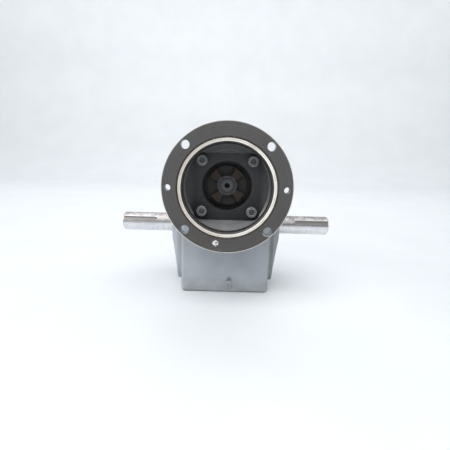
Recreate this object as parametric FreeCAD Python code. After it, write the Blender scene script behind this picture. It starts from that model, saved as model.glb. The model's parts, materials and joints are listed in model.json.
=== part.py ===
import FreeCAD, Part
import math
import os

# Right angle worm gearbox with a hollow motor adapter and a double ended output shaft.
# Millimetres. Origin: on the base plane, directly below the middle of the output shaft.
# +X runs along the output shaft, +Y runs from the motor flange to the rear, +Z is up.

# Driving dimensions
CENTRE_DISTANCE = 66.675        # 2.625 in between the worm axis and the gear axis
OUTPUT_Z = 91.0                 # height of the output shaft axis
INPUT_Z = OUTPUT_Z + CENTRE_DISTANCE
CLEAR = 0.02                    # radial gap of a static fit
RUN = 0.05                      # radial gap of a running fit

MODULE = 3.175                  # 8 diametral pitch
GEAR_TEETH = 30
PRESSURE_ANGLE = math.radians(20.0)
GEAR_PITCH_R = MODULE * GEAR_TEETH / 2.0
WORM_PITCH_R = CENTRE_DISTANCE - GEAR_PITCH_R
WORM_LEAD = math.pi * MODULE
LEAD_ANGLE = math.atan(WORM_LEAD / (2.0 * math.pi * WORM_PITCH_R))
GEAR_HALF_WIDTH = 12.0
GEAR_TIP_R = GEAR_PITCH_R + MODULE
GEAR_ROOT_R = GEAR_PITCH_R - 1.157 * MODULE
WORM_TIP_R = WORM_PITCH_R + MODULE
WORM_ROOT_R = WORM_PITCH_R - 1.157 * MODULE
WORM_HALF_LENGTH = 27.0
TOOTH_THINNING = 0.12           # taken off each flank for backlash

OUTPUT_SHAFT_R = 14.2875        # 1.125 in diameter
OUTPUT_SHAFT_HALF = 161.0
OUTPUT_SEAL_LAND_R = 14.5
OUTPUT_JOURNAL_R = 15.0
OUTPUT_KEYWAY_WIDTH = 6.35
OUTPUT_KEYWAY_DEPTH = 3.175
OUTPUT_KEYWAY_LENGTH = 50.0
OUTPUT_KEYWAY_ANGLE = 30.0      # keyway direction, above horizontal on the flange side

HOUSING_HALF_X = 65.0           # machined side faces under the side covers
HOUSING_BASE_HALF_X = 63.2      # the sides draw in below the draft height
HOUSING_DRAFT_Z = 57.0
HOUSING_HALF_Y = 63.0
HOUSING_BOX_TOP = 172.0
HOUSING_TOP = 207.2
HOUSING_UPPER_HALF_X = 60.0
WALL = 7.5

FLANGE_FRONT = -115.0
FLANGE_BACK = -103.0
ADAPTER_BACK = -63.5
ADAPTER_FLOOR = -76.0
FLANGE_R = 82.55                # 6.5 in outside diameter
PILOT_R = 57.15                 # 4.5 in motor pilot
PILOT_DEPTH = 7.0
LAND_R = 63.3                   # machined ring around the pilot
LAND_DEPTH = 0.8
NECK_R = 66.0                   # where the flange flares from the bell
BOLT_CIRCLE_R = 74.6125         # 5.875 in bolt circle
MOTOR_HOLE_R = 5.556            # 7/16 in
SMALL_HOLE_R = 3.97             # 5/16 in
ADAPTER_BORE_R = 32.8
ADAPTER_HALF_X = 60.0           # outside of the bell behind the flange
ADAPTER_HALF_Z = 50.0
ADAPTER_CORNER_R = 17.0
CAVITY_MOUTH_R = 55.0           # inside of the bell: round at the mouth,
CAVITY_SIDE_X = 55.6            # bulging sides at the floor,
CAVITY_CORNER_X = 45.0
CAVITY_UP = 43.5                # flat above and below the input axis
CAVITY_DOWN = 46.5
CAVITY_CORNER_R = 9.0
FLANGE_SCREW_HALF = 33.675      # square spacing of the four adapter screws

COVER_HALF_Y = 58.0
COVER_BOTTOM = 9.0
COVER_TOP = 166.0
COVER_CORNER_R = 34.0
COVER_INNER_X = 65.5
COVER_RIM_X = 70.0
COVER_SHOULDER_X = 80.5         # the cover rises from its rim to the hub
COVER_SHOULDER_R = 36.0
COVER_HUB_X = 82.0
COVER_HUB_R = 24.0
SIDE_OPENING_R = 54.0

COVER_SCREWS = [(-45, -50), (-45, 49), (45, -50), (45, 49), (0, -69), (0, 66)]
COVER_SCREW_R = 3.96875         # 5/16 in
COVER_SCREW_LENGTH = 18.0
COVER_HEAD_R = 6.2
COVER_HEAD_HEIGHT = 4.0
COVER_HEAD_SEAT_X = 68.0

OUTPUT_BEARING_R = 31.0
OUTPUT_BEARING_MID = 54.0
OUTPUT_BEARING_WIDTH = 16.0
OUTPUT_BEARING_FAR = OUTPUT_BEARING_MID + OUTPUT_BEARING_WIDTH / 2.0
OUTPUT_BALL_R = 4.76
OUTPUT_SEAL_R = 20.6375
OUTPUT_SEAL_WIDTH = 6.35
OUTPUT_SEAL_X = COVER_HUB_X - 7.0
INPUT_BEARING_R = 26.0
INPUT_BEARING_MID = 40.0
INPUT_BEARING_WIDTH = 15.0
INPUT_BEARING_NEAR = INPUT_BEARING_MID - INPUT_BEARING_WIDTH / 2.0
INPUT_BEARING_FAR = INPUT_BEARING_MID + INPUT_BEARING_WIDTH / 2.0
INPUT_BALL_R = 3.97
INPUT_SEAL_R = 23.5
INPUT_SEAL_WIDTH = 7.0
BALL_COUNT = 9

INPUT_SHAFT_R = 12.5
INPUT_SHAFT_END = 52.0
STUB_R = 10.0                   # front end of the worm shaft
STUB_KEY_HALF = 2.5
HUB_R = 27.0                    # coupling hub
HUB_FRONT = -70.0
HUB_WEB = -62.0
HUB_BACK = -57.0
HUB_BOSS_R = 13.5
HUB_SET_SCREW_R = 1.7
JAW_HALF_ANGLE = 16.5
JAW_CENTRE_ANGLE = 40.0
JAW_FLAT = 25.8

GEAR_RIM_BORE_R = 35.0
GEAR_WEB_R = 43.0
GEAR_SEAT_R = 17.0
GEAR_HUB_R = 25.0
GEAR_HUB_HALF = 16.0
GEAR_SCREW_CIRCLE_R = 39.0
GEAR_SCREW_R = 2.5
GEAR_SCREW_COUNT = 6
GEAR_KEY_WIDTH = 9.525
GEAR_KEY_LOW = 12.5
GEAR_KEY_HIGH = 20.5
GEAR_KEY_HALF_LENGTH = 14.0
COLLAR_R = 21.0
COLLAR_LOW = -21.0
SEAT_HIGH = 20.0

FLANGE_SCREW_R = 4.7625         # 3/8 in
FLANGE_SCREW_HOLE_R = 5.2
CAP_FACE = 63.5                 # rear bearing cap
CAP_R = 44.0
CAP_THICKNESS = 8.0
CAP_SCREW_R = 3.175             # 1/4 in
CAP_SCREW_CIRCLE_R = 37.5
HOLE_PLAY = 0.25                # radial play of a through hole

BASE_HOLE_HALF_X = 47.625
BASE_HOLE_HALF_Y = 44.45
BASE_HOLE_R = 4.7625
PLUG_R = 6.6

X_AXIS = FreeCAD.Vector(1, 0, 0)
Y_AXIS = FreeCAD.Vector(0, 1, 0)
Z_AXIS = FreeCAD.Vector(0, 0, 1)
ZERO = FreeCAD.Vector(0, 0, 0)
LEVEL_PLUG_PLACE = FreeCAD.Vector(38.0, HOUSING_HALF_Y, OUTPUT_Z)
DRAIN_PLUG_PLACE = FreeCAD.Vector(0.0, HOUSING_HALF_Y, 20.0)
VENT_PLUG_PLACE = FreeCAD.Vector(0.0, 8.0, HOUSING_TOP)


def vec(x, y, z):
    return FreeCAD.Vector(x, y, z)


def out_x(shape):
    """Turn a shape built along Z so that it runs along the output axis (+X)."""
    turned = shape.copy()
    turned.rotate(ZERO, Y_AXIS, 90)
    turned.translate(vec(0, 0, OUTPUT_Z))
    return turned


def in_y(shape):
    """Turn a shape built along Z so that it runs along the input axis (+Y)."""
    turned = shape.copy()
    turned.rotate(ZERO, X_AXIS, -90)
    turned.translate(vec(0, 0, INPUT_Z))
    return turned


def disc(radius, low, high):
    """Cylinder along Z from low to high."""
    return Part.makeCylinder(radius, high - low, vec(0, 0, low))


def tube(outer, inner, low, high):
    return disc(outer, low, high).cut(disc(inner, low - 1, high + 1))


def revolve(points):
    """Solid of revolution about Z from (radius, height) points."""
    corners = [vec(r, 0, h) for r, h in points]
    face = Part.Face(Part.makePolygon(corners + [corners[0]]))
    return face.revolve(ZERO, Z_AXIS, 360)


def hexagon(radius, low, high):
    """Hexagonal prism along Z, radius to its corners."""
    corners = [vec(radius * math.cos(a), radius * math.sin(a), low) for a in angles_around(6, 0.0)]
    return Part.Face(Part.makePolygon(corners + [corners[0]])).extrude(vec(0, 0, high - low))


def angles_around(count, first):
    """Evenly spaced angles in radians, the first one given in degrees."""
    return [math.radians(first + 360.0 * index / count) for index in range(count)]


def block(x0, x1, y0, y1, z0, z1):
    return Part.makeBox(x1 - x0, y1 - y0, z1 - z0, vec(x0, y0, z0))


def mirrored(shape):
    """The same piece on the other side of the plane X = 0."""
    return shape.mirror(ZERO, X_AXIS)


def edges_along(shape, axis, test):
    """Straight edges parallel to axis whose middle passes the test."""
    found = []
    for edge in shape.Edges:
        if edge.Curve.TypeId != "Part::GeomLine":
            continue
        if abs(abs(edge.tangentAt(edge.FirstParameter).dot(axis)) - 1.0) > 1e-6:
            continue
        if test(edge.CenterOfMass):
            found.append(edge)
    return found


def rounded_wire(half_a, half_b, corner, height):
    """Rounded rectangle as eight edges in the plane Z = height, starting at the first corner arc."""
    edges = []
    signs = [(1, 1), (-1, 1), (-1, -1), (1, -1)]
    arcs = []
    for index, (sa, sb) in enumerate(signs):
        ca = sa * (half_a - corner)
        cb = sb * (half_b - corner)
        start = math.radians(90 * index)
        points = []
        for step in (0.0, 0.5, 1.0):
            angle = start + step * math.pi / 2.0
            points.append(vec(ca + corner * math.cos(angle), cb + corner * math.sin(angle), height))
        arcs.append(points)
    for index, points in enumerate(arcs):
        following = arcs[(index + 1) % 4][0]
        edges.append(Part.Arc(points[0], points[1], points[2]).toShape())
        edges.append(Part.LineSegment(points[2], following).toShape())
    return Part.Wire(edges)


def circle_wire_matching(radius, outline, height):
    """Circle in as many arcs as the outline has edges, jointed at the same angles."""
    joints = []
    for vertex in outline.OrderedVertexes:
        joints.append(math.atan2(vertex.Point.y, vertex.Point.x))
    joints.append(joints[0])
    edges = []
    for start, end in zip(joints[:-1], joints[1:]):
        while end < start:
            end += 2.0 * math.pi
        points = []
        for angle in (start, (start + end) / 2.0, end):
            points.append(vec(radius * math.cos(angle), radius * math.sin(angle), height))
        edges.append(Part.Arc(points[0], points[1], points[2]).toShape())
    return Part.Wire(edges)


def cavity_floor_wire(height):
    """Outline of the bell's floor: flat above and below, rounded corners, bulging sides."""
    diagonal = CAVITY_CORNER_R * math.sqrt(0.5)
    inner_x = CAVITY_CORNER_X - CAVITY_CORNER_R
    edges = []
    # Local +Y points down once the adapter is turned along the input axis.
    for side, down, up in ((1, CAVITY_DOWN, CAVITY_UP), (-1, CAVITY_UP, CAVITY_DOWN)):
        low = -side * (up - CAVITY_CORNER_R)
        high = side * (down - CAVITY_CORNER_R)
        side_low = vec(side * CAVITY_CORNER_X, low, height)
        side_mid = vec(side * CAVITY_SIDE_X, 0, height)
        side_high = vec(side * CAVITY_CORNER_X, high, height)
        corner_mid = vec(side * (inner_x + diagonal), high + side * diagonal, height)
        corner_end = vec(side * inner_x, side * down, height)
        flat_end = vec(-side * inner_x, side * down, height)
        next_mid = vec(-side * (inner_x + diagonal), high + side * diagonal, height)
        next_end = vec(-side * CAVITY_CORNER_X, high, height)
        edges.append(Part.Arc(side_low, side_mid, side_high).toShape())
        edges.append(Part.Arc(side_high, corner_mid, corner_end).toShape())
        edges.append(Part.LineSegment(corner_end, flat_end).toShape())
        edges.append(Part.Arc(flat_end, next_mid, next_end).toShape())
    return Part.Wire(edges)


def cap_screw(shank_r, length, head_r, head_height, socket_r):
    """Socket head cap screw along Z: head from 0 up, shank from 0 down."""
    head = disc(head_r, 0, head_height)
    head = head.makeChamfer(0.6, [e for e in head.Edges if e.CenterOfMass.z > head_height - 0.01])
    shank = disc(shank_r, -length, 0)
    return head.fuse(shank).cut(hexagon(socket_r, head_height * 0.45, head_height + 1))


def point_out(shape, position, direction):
    """Place a shape built along +Z at a position, pointing along a direction."""
    placed = shape.copy()
    placed.Placement = FreeCAD.Placement(position, FreeCAD.Rotation(Z_AXIS, direction))
    return placed


# Ball bearings, built along Z about the origin

def bearing(outer_r, inner_r, width, ball_r, ball_count):
    """Deep groove ball bearing as outer ring, inner ring, ball set and cage."""
    pitch_r = (outer_r + inner_r) / 2.0
    shoulder = 0.45 * ball_r
    half = width / 2.0
    groove = Part.makeTorus(pitch_r, ball_r + RUN)
    outer = tube(outer_r - CLEAR, pitch_r + shoulder, -half, half).cut(groove)
    inner = tube(pitch_r - shoulder, inner_r, -half, half).cut(groove)
    balls = []
    pockets = []
    for index in range(ball_count):
        angle = 2.0 * math.pi * index / ball_count
        centre = vec(pitch_r * math.cos(angle), pitch_r * math.sin(angle), 0)
        balls.append(Part.makeSphere(ball_r, centre))
        outward = vec(math.cos(angle), math.sin(angle), 0)
        pockets.append(Part.makeCylinder(ball_r + 2.0 * RUN, outer_r, ZERO, outward))
    cage_half = 1.3 * ball_r
    cage = tube(pitch_r + 0.22 * ball_r, pitch_r - 0.22 * ball_r, -cage_half, cage_half)
    cage = cage.cut(pockets)
    return {"outer_ring": outer, "inner_ring": inner, "balls": Part.makeCompound(balls), "cage": cage}


def shifted(shape, distance):
    moved = shape.copy()
    moved.translate(vec(0, 0, distance))
    return moved


# Gear pair

def gear_profile_wire(turn, height):
    """Closed outline of the gear at one section, turned about Z."""
    base_r = GEAR_PITCH_R * math.cos(PRESSURE_ANGLE)

    def involute(angle):
        return math.tan(angle) - angle

    def half_angle(radius):
        pitch_half = (math.pi * MODULE / 4.0 - TOOTH_THINNING) / GEAR_PITCH_R
        local = math.acos(min(1.0, base_r / radius))
        return pitch_half + involute(PRESSURE_ANGLE) - involute(local)

    def at(radius, angle):
        return vec(radius * math.cos(angle), radius * math.sin(angle), height)

    pitch_angle = 2.0 * math.pi / GEAR_TEETH
    middle_r = (base_r + GEAR_TIP_R) / 2.0
    edges = []
    for index in range(GEAR_TEETH):
        centre = turn + pitch_angle * (index + 0.5)
        root = half_angle(base_r) + 0.006
        low = at(GEAR_ROOT_R, centre - root)
        mid = at(middle_r, centre - half_angle(middle_r))
        tip = at(GEAR_TIP_R, centre - half_angle(GEAR_TIP_R))
        crest = at(GEAR_TIP_R, centre)
        tip_far = at(GEAR_TIP_R, centre + half_angle(GEAR_TIP_R))
        mid_far = at(middle_r, centre + half_angle(middle_r))
        low_far = at(GEAR_ROOT_R, centre + root)
        valley = at(GEAR_ROOT_R, centre + pitch_angle / 2.0)
        following = at(GEAR_ROOT_R, centre + pitch_angle - root)
        edges.append(Part.Arc(low, mid, tip).toShape())
        edges.append(Part.Arc(tip, crest, tip_far).toShape())
        edges.append(Part.Arc(tip_far, mid_far, low_far).toShape())
        edges.append(Part.Arc(low_far, valley, following).toShape())
    return Part.Wire(edges)


def make_worm_gear():
    """Bronze rim with helical teeth that follow the worm's lead. A gap faces the worm at rest."""
    twist = GEAR_HALF_WIDTH * math.tan(LEAD_ANGLE) / GEAR_PITCH_R
    lower = gear_profile_wire(math.pi - twist, -GEAR_HALF_WIDTH)
    upper = gear_profile_wire(math.pi + twist, GEAR_HALF_WIDTH)
    rim = Part.makeLoft([lower, upper], True, True)
    rim = rim.cut(disc(GEAR_RIM_BORE_R, -GEAR_HALF_WIDTH - 1, GEAR_HALF_WIDTH + 1))
    for place in gear_screw_places(-GEAR_HALF_WIDTH):
        rim = rim.cut(Part.makeCylinder(GEAR_SCREW_R + CLEAR, 10.0, place))
    return out_x(rim)


def gear_screw_places(height):
    places = []
    for angle in angles_around(GEAR_SCREW_COUNT, 180.0 / GEAR_SCREW_COUNT):
        x = GEAR_SCREW_CIRCLE_R * math.cos(angle)
        y = GEAR_SCREW_CIRCLE_R * math.sin(angle)
        places.append(vec(x, y, height))
    return places


def make_gear_hub():
    hub = disc(GEAR_RIM_BORE_R - CLEAR, -GEAR_HALF_WIDTH, GEAR_HALF_WIDTH)
    hub = hub.fuse(disc(GEAR_WEB_R, -GEAR_HUB_HALF, -GEAR_HALF_WIDTH))
    hub = hub.fuse(disc(GEAR_HUB_R, -GEAR_HUB_HALF, GEAR_HUB_HALF))
    recess = tube(GEAR_HUB_R + 6.0, GEAR_HUB_R, 7.0, GEAR_HALF_WIDTH + 1)
    hub = hub.cut(recess)
    hub = hub.cut(disc(GEAR_SEAT_R, -20, 20))
    half = GEAR_KEY_WIDTH / 2.0 + CLEAR
    hub = hub.cut(block(-GEAR_KEY_HIGH - 0.3, 0, -half, half, -20, 20))
    for place in gear_screw_places(-GEAR_HUB_HALF - 1):
        hub = hub.cut(Part.makeCylinder(GEAR_SCREW_R + HOLE_PLAY, 6.0, place))
    return out_x(hub)


def make_gear_screws():
    screw = cap_screw(GEAR_SCREW_R, 12.0, 4.0, 4.0, 2.0)
    places = gear_screw_places(-GEAR_HUB_HALF)
    return Part.makeCompound([out_x(point_out(screw, place, vec(0, 0, -1))) for place in places])


def make_gear_key():
    half = GEAR_KEY_WIDTH / 2.0
    reach = GEAR_KEY_HALF_LENGTH
    return out_x(block(-GEAR_KEY_HIGH, -GEAR_KEY_LOW, -half, half, -reach, reach))


def make_worm_shaft():
    """Worm, its journals and the front stub that carries the coupling hub."""
    start = WORM_HALF_LENGTH + 8.0
    spine = Part.makeHelix(WORM_LEAD, 2.0 * start, WORM_PITCH_R)
    slope = math.tan(PRESSURE_ANGLE)
    half = math.pi * MODULE / 4.0 - TOOTH_THINNING
    root_r = WORM_ROOT_R - 0.6
    wide = half + (WORM_PITCH_R - root_r) * slope
    narrow = half - (WORM_TIP_R - WORM_PITCH_R) * slope
    corners = [
        vec(root_r, 0, -wide),
        vec(WORM_TIP_R, 0, -narrow),
        vec(WORM_TIP_R, 0, narrow),
        vec(root_r, 0, wide),
    ]
    section = Part.makePolygon(corners + [corners[0]])
    thread = Part.Wire(spine).makePipeShell([section], True, True)
    thread.translate(vec(0, 0, -start))
    thread.rotate(ZERO, Z_AXIS, 90.0 - 360.0 * start / WORM_LEAD)
    envelope = revolve([
        (0, -WORM_HALF_LENGTH),
        (WORM_ROOT_R + 1, -WORM_HALF_LENGTH),
        (WORM_TIP_R + 1, -WORM_HALF_LENGTH + 5),
        (WORM_TIP_R + 1, WORM_HALF_LENGTH - 5),
        (WORM_ROOT_R + 1, WORM_HALF_LENGTH),
        (0, WORM_HALF_LENGTH),
    ])
    thread = thread.common(envelope)
    shaft = disc(WORM_ROOT_R, -INPUT_BEARING_NEAR, INPUT_BEARING_NEAR)
    shaft = shaft.fuse(disc(INPUT_SHAFT_R, HUB_BACK, INPUT_SHAFT_END))
    shaft = shaft.fuse(disc(STUB_R, HUB_FRONT, HUB_BACK))
    circles = [e for e in shaft.Edges if e.Curve.TypeId == "Part::GeomCircle"]
    ends = [e for e in circles if e.CenterOfMass.z < HUB_FRONT + 0.1]
    ends += [e for e in circles if e.CenterOfMass.z > INPUT_SHAFT_END - 0.1]
    shaft = shaft.makeChamfer(0.8, ends)
    groove = tube(INPUT_SHAFT_R + 1, INPUT_SHAFT_R - 0.8, INPUT_BEARING_FAR, INPUT_BEARING_FAR + 1.4)
    drill = disc(2.35, HUB_FRONT - 1, HUB_FRONT + 7)
    drill = drill.fuse(Part.makeCone(4.0, 2.35, 1.8, vec(0, 0, HUB_FRONT - 0.01)))
    key_half = STUB_KEY_HALF + CLEAR
    keyway = block(6.9, 14, -key_half, key_half, HUB_WEB - 3.0, HUB_BACK + 4.0)
    shaft = shaft.cut([groove, drill, keyway])
    return in_y(shaft.fuse(thread))


def make_coupling_hub():
    """Jaw coupling half on the worm shaft: four jaws between four wide recesses."""
    hub = disc(HUB_R, HUB_WEB, HUB_BACK)
    hub = hub.fuse(disc(HUB_BOSS_R, HUB_FRONT + 0.6, HUB_BACK))
    wedge_x = 40.0
    wedge_y = wedge_x * math.tan(math.radians(JAW_HALF_ANGLE))
    tip = vec(0, 0, HUB_FRONT)
    corners = [tip, vec(wedge_x, -wedge_y, HUB_FRONT), vec(wedge_x, wedge_y, HUB_FRONT), tip]
    wedge = Part.Face(Part.makePolygon(corners)).extrude(vec(0, 0, HUB_WEB - HUB_FRONT))
    jaw = wedge.common(block(0, JAW_FLAT, -30, 30, HUB_FRONT - 1, HUB_WEB + 1))
    jaw = jaw.common(disc(HUB_R, HUB_FRONT, HUB_WEB))
    for quarter in range(4):
        turned = jaw.copy()
        turned.rotate(ZERO, Z_AXIS, JAW_CENTRE_ANGLE + 90.0 * quarter)
        hub = hub.fuse(turned)
    hub = hub.removeSplitter()
    key_half = STUB_KEY_HALF + CLEAR
    middle = (HUB_WEB + HUB_BACK) / 2.0
    return in_y(hub.cut([
        disc(STUB_R + CLEAR, HUB_FRONT - 1, HUB_BACK + 1),
        block(0, 12.4, -key_half, key_half, HUB_WEB - 3.2, HUB_BACK + 1),
        Part.makeCylinder(HUB_SET_SCREW_R + CLEAR, 20, vec(-HUB_R - 1, 0, middle), X_AXIS),
    ]))


def make_coupling_set_screw():
    middle = (HUB_WEB + HUB_BACK) / 2.0
    screw = Part.makeCylinder(HUB_SET_SCREW_R, 9.0, vec(-19.5, 0, middle), X_AXIS)
    socket = Part.makeCylinder(0.8, 3.0, vec(-19.6, 0, middle), X_AXIS)
    return in_y(screw.cut(socket))


def make_coupling_key():
    return in_y(block(7.0, 12.1, -STUB_KEY_HALF, STUB_KEY_HALF, HUB_WEB - 2.8, HUB_BACK + 3.8))


def make_rear_retaining_ring():
    near = INPUT_BEARING_FAR + 0.05
    ring = tube(INPUT_SHAFT_R + 2.6, INPUT_SHAFT_R - 0.8, near, near + 1.3)
    gap = block(0, 20, -3, 3, INPUT_BEARING_FAR - 1, INPUT_BEARING_FAR + 3)
    return in_y(ring.cut(gap))


# Output shaft line

def make_output_shaft():
    shaft = disc(OUTPUT_SHAFT_R, -OUTPUT_SHAFT_HALF, OUTPUT_SHAFT_HALF)
    rims = [e for e in shaft.Edges if abs(abs(e.CenterOfMass.z) - OUTPUT_SHAFT_HALF) < 0.1]
    shaft = shaft.makeChamfer(2.0, rims)
    land = COVER_HUB_X + 0.5
    shaft = shaft.fuse(disc(OUTPUT_SEAL_LAND_R, -land, land))
    shaft = shaft.fuse(disc(OUTPUT_JOURNAL_R, -OUTPUT_BEARING_FAR, OUTPUT_BEARING_FAR))
    shaft = shaft.fuse(disc(GEAR_SEAT_R, COLLAR_LOW, SEAT_HIGH))
    shaft = shaft.fuse(disc(COLLAR_R, COLLAR_LOW, -GEAR_HUB_HALF))
    groove = tube(GEAR_SEAT_R + 1, GEAR_SEAT_R - 1.2, GEAR_HUB_HALF, GEAR_HUB_HALF + 1.8)
    half = GEAR_KEY_WIDTH / 2.0 + CLEAR
    reach = GEAR_KEY_HALF_LENGTH + 0.1
    seat = block(-GEAR_SEAT_R - 1, -GEAR_KEY_LOW, -half, half, -reach, reach)
    shaft = out_x(shaft.cut([groove, seat]))
    for side in (-1, 1):
        inner_end = OUTPUT_SHAFT_HALF - OUTPUT_KEYWAY_LENGTH
        slot = block(inner_end, OUTPUT_SHAFT_HALF + 1,
                     -OUTPUT_KEYWAY_WIDTH / 2.0, OUTPUT_KEYWAY_WIDTH / 2.0,
                     OUTPUT_SHAFT_R - OUTPUT_KEYWAY_DEPTH, OUTPUT_SHAFT_R + 2)
        slot = slot.fuse(Part.makeCylinder(OUTPUT_KEYWAY_WIDTH / 2.0, OUTPUT_KEYWAY_DEPTH + 2,
                                           vec(inner_end, 0, OUTPUT_SHAFT_R - OUTPUT_KEYWAY_DEPTH)))
        slot.rotate(ZERO, X_AXIS, 90.0 - OUTPUT_KEYWAY_ANGLE)
        if side < 0:
            slot = mirrored(slot)
        slot.translate(vec(0, 0, OUTPUT_Z))
        shaft = shaft.cut(slot)
    return shaft


def make_gear_retaining_ring():
    ring = tube(GEAR_SEAT_R + 2.6, GEAR_SEAT_R - 1.2, GEAR_HUB_HALF + 0.05, GEAR_HUB_HALF + 1.75)
    gap = block(0, 25, -4, 4, GEAR_HUB_HALF - 1, GEAR_HUB_HALF + 3)
    return out_x(ring.cut(gap))


def make_spacer(start):
    near = OUTPUT_BEARING_MID - OUTPUT_BEARING_WIDTH / 2.0
    return out_x(tube(18.8, OUTPUT_JOURNAL_R + CLEAR, start, near))


# Housing and covers

def cover_wire(margin, height):
    """Cover outline about the output axis, larger all round by margin."""
    tall = (COVER_TOP - COVER_BOTTOM) / 2.0
    middle = (COVER_TOP + COVER_BOTTOM) / 2.0 - OUTPUT_Z
    wire = rounded_wire(tall + margin, COVER_HALF_Y + margin, COVER_CORNER_R + margin, height)
    wire.translate(vec(-middle, 0, 0))
    return wire


def cover_outline(margin, x0, x1):
    """Rounded plate in the YZ plane between two X positions."""
    return out_x(Part.Face(cover_wire(margin, x0)).extrude(vec(0, 0, x1 - x0)))


def cover_screw_places(x):
    return [vec(x, y, OUTPUT_Z + z) for y, z in COVER_SCREWS]


def make_side_cover():
    """Right side cover: bolted rim, crowned face, bearing seat and seal bore."""
    cover = cover_outline(0.0, COVER_INNER_X, COVER_RIM_X)
    crown_base = cover_wire(-2.0, COVER_RIM_X)
    crown = Part.makeLoft([
        crown_base,
        circle_wire_matching(COVER_SHOULDER_R, crown_base, COVER_SHOULDER_X),
    ], True, True)
    hub = disc(COVER_HUB_R, COVER_RIM_X, COVER_HUB_X)
    hub = hub.makeChamfer(1.5, [e for e in hub.Edges if e.CenterOfMass.z > COVER_HUB_X - 0.01])
    spigot = disc(SIDE_OPENING_R - RUN, 58.0, COVER_INNER_X)
    boss = disc(37.0, 45.0, 58.0)
    cover = cover.fuse([out_x(crown), out_x(hub), out_x(spigot), out_x(boss)])
    hollow = disc(48.0, 57.0, 60.0).cut(disc(37.0, 56.0, 61.0))
    cuts = [
        out_x(disc(OUTPUT_BEARING_R, 44.0, OUTPUT_BEARING_FAR)),
        out_x(disc(17.0, OUTPUT_BEARING_FAR - 1, COVER_HUB_X + 1)),
        out_x(disc(OUTPUT_SEAL_R, OUTPUT_SEAL_X, COVER_HUB_X + 1)),
        out_x(hollow),
    ]
    for place in cover_screw_places(COVER_INNER_X - 1):
        cuts.append(Part.makeCylinder(COVER_SCREW_R + HOLE_PLAY, 20, place, X_AXIS))
    for place in cover_screw_places(COVER_HEAD_SEAT_X):
        cuts.append(Part.makeCylinder(COVER_HEAD_R + 0.4, 20, place, X_AXIS))
    return cover.cut(cuts)


def make_cover_gasket():
    gasket = cover_outline(0.0, HOUSING_HALF_X, COVER_INNER_X)
    cuts = [out_x(disc(SIDE_OPENING_R, HOUSING_HALF_X - 1, COVER_INNER_X + 1))]
    for place in cover_screw_places(HOUSING_HALF_X - 1):
        cuts.append(Part.makeCylinder(COVER_SCREW_R + HOLE_PLAY, 5, place, X_AXIS))
    return gasket.cut(cuts)


def make_cover_screws():
    screw = cap_screw(COVER_SCREW_R, COVER_SCREW_LENGTH, COVER_HEAD_R, COVER_HEAD_HEIGHT, 3.0)
    return Part.makeCompound([
        point_out(screw, place, X_AXIS) for place in cover_screw_places(COVER_HEAD_SEAT_X)
    ])


def make_seal(outer_r, shaft_r, width):
    """Lip seal: metal case and rubber body as one ring, lip towards -Z."""
    lip = shaft_r + RUN
    return revolve([
        (outer_r - CLEAR, 0), (lip + 2.2, 0), (lip + 0.9, 0.6), (lip + 0.9, 1.4), (lip, 2.0), (lip, 3.0),
        (lip + 2.4, 3.9), (lip + 2.4, width - 1.2), (outer_r - 2.2, width - 1.2), (outer_r - 2.2, width),
        (outer_r - CLEAR, width),
    ])


def flange_screw_places(y):
    places = []
    for sx in (-1, 1):
        for sz in (-1, 1):
            places.append(vec(sx * FLANGE_SCREW_HALF, y, INPUT_Z + sz * FLANGE_SCREW_HALF))
    return places


def cap_screw_places(y):
    places = []
    for angle in angles_around(4, 45.0):
        height = INPUT_Z + CAP_SCREW_CIRCLE_R * math.sin(angle)
        places.append(vec(CAP_SCREW_CIRCLE_R * math.cos(angle), y, height))
    return places


def base_hole_places():
    return [vec(sx * BASE_HOLE_HALF_X, sy * BASE_HOLE_HALF_Y, 0) for sx in (-1, 1) for sy in (-1, 1)]


def make_front_pad():
    """Small cast pad low on the front face, split by a groove."""
    pad = block(1.5, 10.0, -HOUSING_HALF_Y - 1.6, -HOUSING_HALF_Y + 1, 6.5, 17.5)
    pad = pad.makeFillet(1.2, edges_along(pad, Y_AXIS, lambda c: True))
    groove = block(5.1, 6.4, -HOUSING_HALF_Y - 3, -HOUSING_HALF_Y - 0.4, 7.5, 14.0)
    return pad.cut(groove)


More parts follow.
